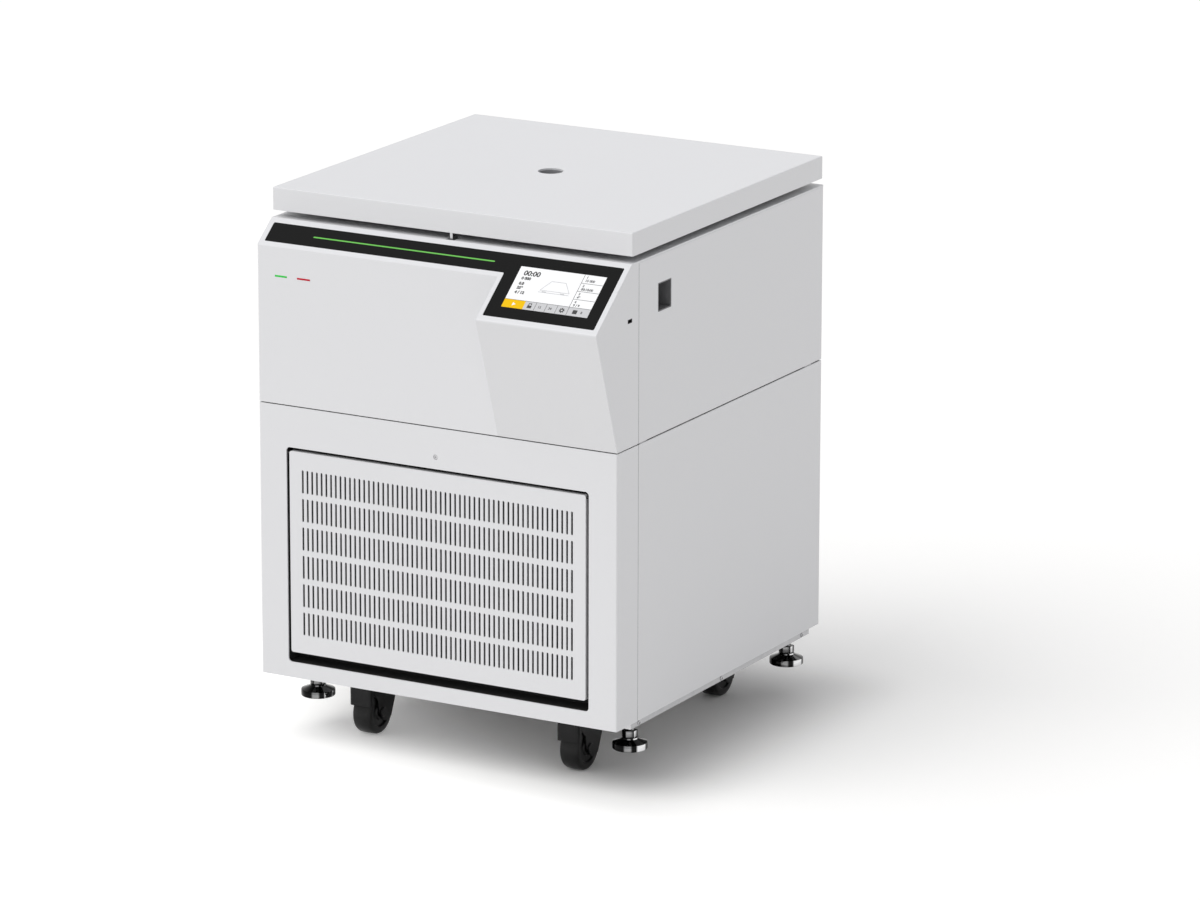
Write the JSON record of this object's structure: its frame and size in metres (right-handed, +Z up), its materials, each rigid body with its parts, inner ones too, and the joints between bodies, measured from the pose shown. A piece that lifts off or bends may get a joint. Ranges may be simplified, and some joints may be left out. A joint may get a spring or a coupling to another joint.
{
  "type": "floor-standing centrifuge",
  "caption": "Floor-standing refrigerated lab centrifuge: white cabinet with hinged flat lid, sloped glass controls, slotted filter door, swing-out rotor, levelling feet and casters.",
  "frame": {"origin": "on the floor under the middle of the object's box", "axes": "+Z up, front and screen towards -Y, +X to the right seen from the front"},
  "size_m": [0.7, 0.805, 0.9685],
  "materials": {
    "painted_white": "satin",
    "liner_white": "satin",
    "galvanised": "satin",
    "black_glass": "gloss",
    "screen": "gloss",
    "green_light": "gloss",
    "lamp_lens": "gloss",
    "black_plastic": "matte",
    "fins": "matte",
    "motor_black": "satin",
    "box_steel": "satin",
    "stainless": "satin",
    "guard_steel": "matte",
    "seal_rubber": "matte",
    "shaft_steel": "satin",
    "rotor_alloy": "satin",
    "bucket_alloy": "satin",
    "window": "clear",
    "chrome": "polished",
    "caster_black": "satin",
    "caster_tyre": "satin"
  },
  "bodies": {
    "cabinet": {"base_frame": "galvanised", "inner_frame": "galvanised", "side_panel_left_lower": "painted_white", "side_panel_left_upper": "painted_white", "side_panel_right_lower": "painted_white", "side_panel_right_upper": "painted_white", "front_cover_lower": "painted_white", "front_cover_upper": "painted_white", "rear_panel": "painted_white", "deck_plate": "painted_white", "control_glass": "black_glass", "display_screen": "screen", "status_light_bar": "green_light", "indicator_lamps": "lamp_lens", "usb_socket": "black_plastic", "switch_pocket": "black_plastic", "door_recess": "black_plastic", "condenser": "fins", "fan_motor": "motor_black", "compressor": "motor_black", "electronics_box": "box_steel", "mains_inlet": "black_plastic", "guard_ring": "guard_steel", "chamber_bowl": "stainless", "chamber_seal": "seal_rubber", "drive_motor": "motor_black", "lid_hinges": "galvanised", "lid_lock": "galvanised", "cover_screws": "chrome"},
    "lid": {"lid_shell": "painted_white", "lid_liner": "liner_white", "viewport_glass": "window", "lid_striker": "galvanised"},
    "door": {"grille_door": "painted_white"},
    "rocker": {"power_rocker": "black_plastic"},
    "bolt": {"lock_bolt": "galvanised"},
    "rotor": {"drive_shaft": "shaft_steel", "rotor": "rotor_alloy", "rotor_nut": "rotor_alloy"},
    "fan": {"fan_wheel": "black_plastic"},
    "bucket_1": {"bucket_1": "bucket_alloy"},
    "bucket_2": {"bucket_2": "bucket_alloy"},
    "bucket_3": {"bucket_3": "bucket_alloy"},
    "bucket_4": {"bucket_4": "bucket_alloy"},
    "pad_front_left": {"foot_pad_front_left": "chrome"},
    "spindle_front_left": {"foot_spindle_front_left": "chrome"},
    "fork_front_left": {"caster_fork_front_left": "caster_black"},
    "wheel_front_left": {"caster_wheel_front_left": "caster_tyre"},
    "pad_front_right": {"foot_pad_front_right": "chrome"},
    "spindle_front_right": {"foot_spindle_front_right": "chrome"},
    "fork_front_right": {"caster_fork_front_right": "caster_black"},
    "wheel_front_right": {"caster_wheel_front_right": "caster_tyre"},
    "pad_rear_left": {"foot_pad_rear_left": "chrome"},
    "spindle_rear_left": {"foot_spindle_rear_left": "chrome"},
    "fork_rear_left": {"caster_fork_rear_left": "caster_black"},
    "wheel_rear_left": {"caster_wheel_rear_left": "caster_tyre"},
    "pad_rear_right": {"foot_pad_rear_right": "chrome"},
    "spindle_rear_right": {"foot_spindle_rear_right": "chrome"},
    "fork_rear_right": {"caster_fork_rear_right": "caster_black"},
    "wheel_rear_right": {"caster_wheel_rear_right": "caster_tyre"}
  },
  "joints": [
    {"name": "lid_hinge", "type": "hinge", "parent": "cabinet", "child": "lid", "pos_m": [0, 0.3797, 0.9487], "axis": [-1, 0, 0], "range_deg": [0, 85]},
    {"name": "door_hinge", "type": "hinge", "parent": "cabinet", "child": "door", "pos_m": [0, -0.326, 0.5202], "axis": [-1, 0, 0], "range_deg": [0, 75]},
    {"name": "power_rocker_tilt", "type": "hinge", "parent": "cabinet", "child": "rocker", "pos_m": [0.321, -0.169, 0.84075], "axis": [0, 1, 0], "range_deg": [-9, 9]},
    {"name": "lock_bolt_slide", "type": "slide", "parent": "cabinet", "child": "bolt", "axis": [-1, 0, 0], "range_m": [0, 0.018]},
    {"name": "rotor_spin", "type": "hinge", "parent": "cabinet", "child": "rotor", "pos_m": [0, 0.061, 0.735], "axis": [0, 0, 1], "continuous": true},
    {"name": "fan_spin", "type": "hinge", "parent": "cabinet", "child": "fan", "pos_m": [0, -0.22, 0.325], "axis": [0, -1, 0], "continuous": true},
    {"name": "bucket_1_swing", "type": "hinge", "parent": "rotor", "child": "bucket_1", "pos_m": [0.11, 0.061, 0.735], "axis": [0, -1, 0], "range_deg": [0, 90]},
    {"name": "bucket_2_swing", "type": "hinge", "parent": "rotor", "child": "bucket_2", "pos_m": [0, 0.171, 0.735], "axis": [1, 0, 0], "range_deg": [0, 90]},
    {"name": "bucket_3_swing", "type": "hinge", "parent": "rotor", "child": "bucket_3", "pos_m": [-0.11, 0.061, 0.735], "axis": [0, 1, 0], "range_deg": [0, 90]},
    {"name": "bucket_4_swing", "type": "hinge", "parent": "rotor", "child": "bucket_4", "pos_m": [0, -0.049, 0.735], "axis": [-1, 0, 0], "range_deg": [0, 90]},
    {"name": "foot_front_left_height", "type": "slide", "parent": "cabinet", "child": "pad_front_left", "axis": [0, 0, 1], "range_m": [-0.055, 0.01]},
    {"name": "foot_front_left_screw", "type": "hinge", "parent": "pad_front_left", "child": "spindle_front_left", "pos_m": [-0.31, -0.212, 0.08], "axis": [0, 0, 1], "range_deg": [-9900, 1800]},
    {"name": "caster_front_left_swivel", "type": "hinge", "parent": "cabinet", "child": "fork_front_left", "pos_m": [-0.206, -0.178, 0.1], "axis": [0, 0, 1], "continuous": true},
    {"name": "caster_front_left_roll", "type": "hinge", "parent": "fork_front_left", "child": "wheel_front_left", "pos_m": [-0.206, -0.202, 0.04], "axis": [1, 0, 0], "continuous": true},
    {"name": "foot_front_right_height", "type": "slide", "parent": "cabinet", "child": "pad_front_right", "axis": [0, 0, 1], "range_m": [-0.055, 0.01]},
    {"name": "foot_front_right_screw", "type": "hinge", "parent": "pad_front_right", "child": "spindle_front_right", "pos_m": [0.31, -0.212, 0.08], "axis": [0, 0, 1], "range_deg": [-9900, 1800]},
    {"name": "caster_front_right_swivel", "type": "hinge", "parent": "cabinet", "child": "fork_front_right", "pos_m": [0.206, -0.178, 0.1], "axis": [0, 0, 1], "continuous": true},
    {"name": "caster_front_right_roll", "type": "hinge", "parent": "fork_front_right", "child": "wheel_front_right", "pos_m": [0.206, -0.202, 0.04], "axis": [1, 0, 0], "continuous": true},
    {"name": "foot_rear_left_height", "type": "slide", "parent": "cabinet", "child": "pad_rear_left", "axis": [0, 0, 1], "range_m": [-0.055, 0.01]},
    {"name": "foot_rear_left_screw", "type": "hinge", "parent": "pad_rear_left", "child": "spindle_rear_left", "pos_m": [-0.31, 0.357, 0.08], "axis": [0, 0, 1], "range_deg": [-9900, 1800]},
    {"name": "caster_rear_left_swivel", "type": "hinge", "parent": "cabinet", "child": "fork_rear_left", "pos_m": [-0.206, 0.312, 0.1], "axis": [0, 0, 1], "continuous": true},
    {"name": "caster_rear_left_roll", "type": "hinge", "parent": "fork_rear_left", "child": "wheel_rear_left", "pos_m": [-0.206, 0.288, 0.04], "axis": [1, 0, 0], "continuous": true},
    {"name": "foot_rear_right_height", "type": "slide", "parent": "cabinet", "child": "pad_rear_right", "axis": [0, 0, 1], "range_m": [-0.055, 0.01]},
    {"name": "foot_rear_right_screw", "type": "hinge", "parent": "pad_rear_right", "child": "spindle_rear_right", "pos_m": [0.31, 0.357, 0.08], "axis": [0, 0, 1], "range_deg": [-9900, 1800]},
    {"name": "caster_rear_right_swivel", "type": "hinge", "parent": "cabinet", "child": "fork_rear_right", "pos_m": [0.206, 0.312, 0.1], "axis": [0, 0, 1], "continuous": true},
    {"name": "caster_rear_right_roll", "type": "hinge", "parent": "fork_rear_right", "child": "wheel_rear_right", "pos_m": [0.206, 0.288, 0.04], "axis": [1, 0, 0], "continuous": true}
  ],
  "couplings": [
    {"joint": "foot_front_left_screw", "follows": "foot_front_left_height", "rad_per_m": 3141.6},
    {"joint": "foot_front_right_screw", "follows": "foot_front_right_height", "rad_per_m": 3141.6},
    {"joint": "foot_rear_left_screw", "follows": "foot_rear_left_height", "rad_per_m": 3141.6},
    {"joint": "foot_rear_right_screw", "follows": "foot_rear_right_height", "rad_per_m": 3141.6}
  ]
}
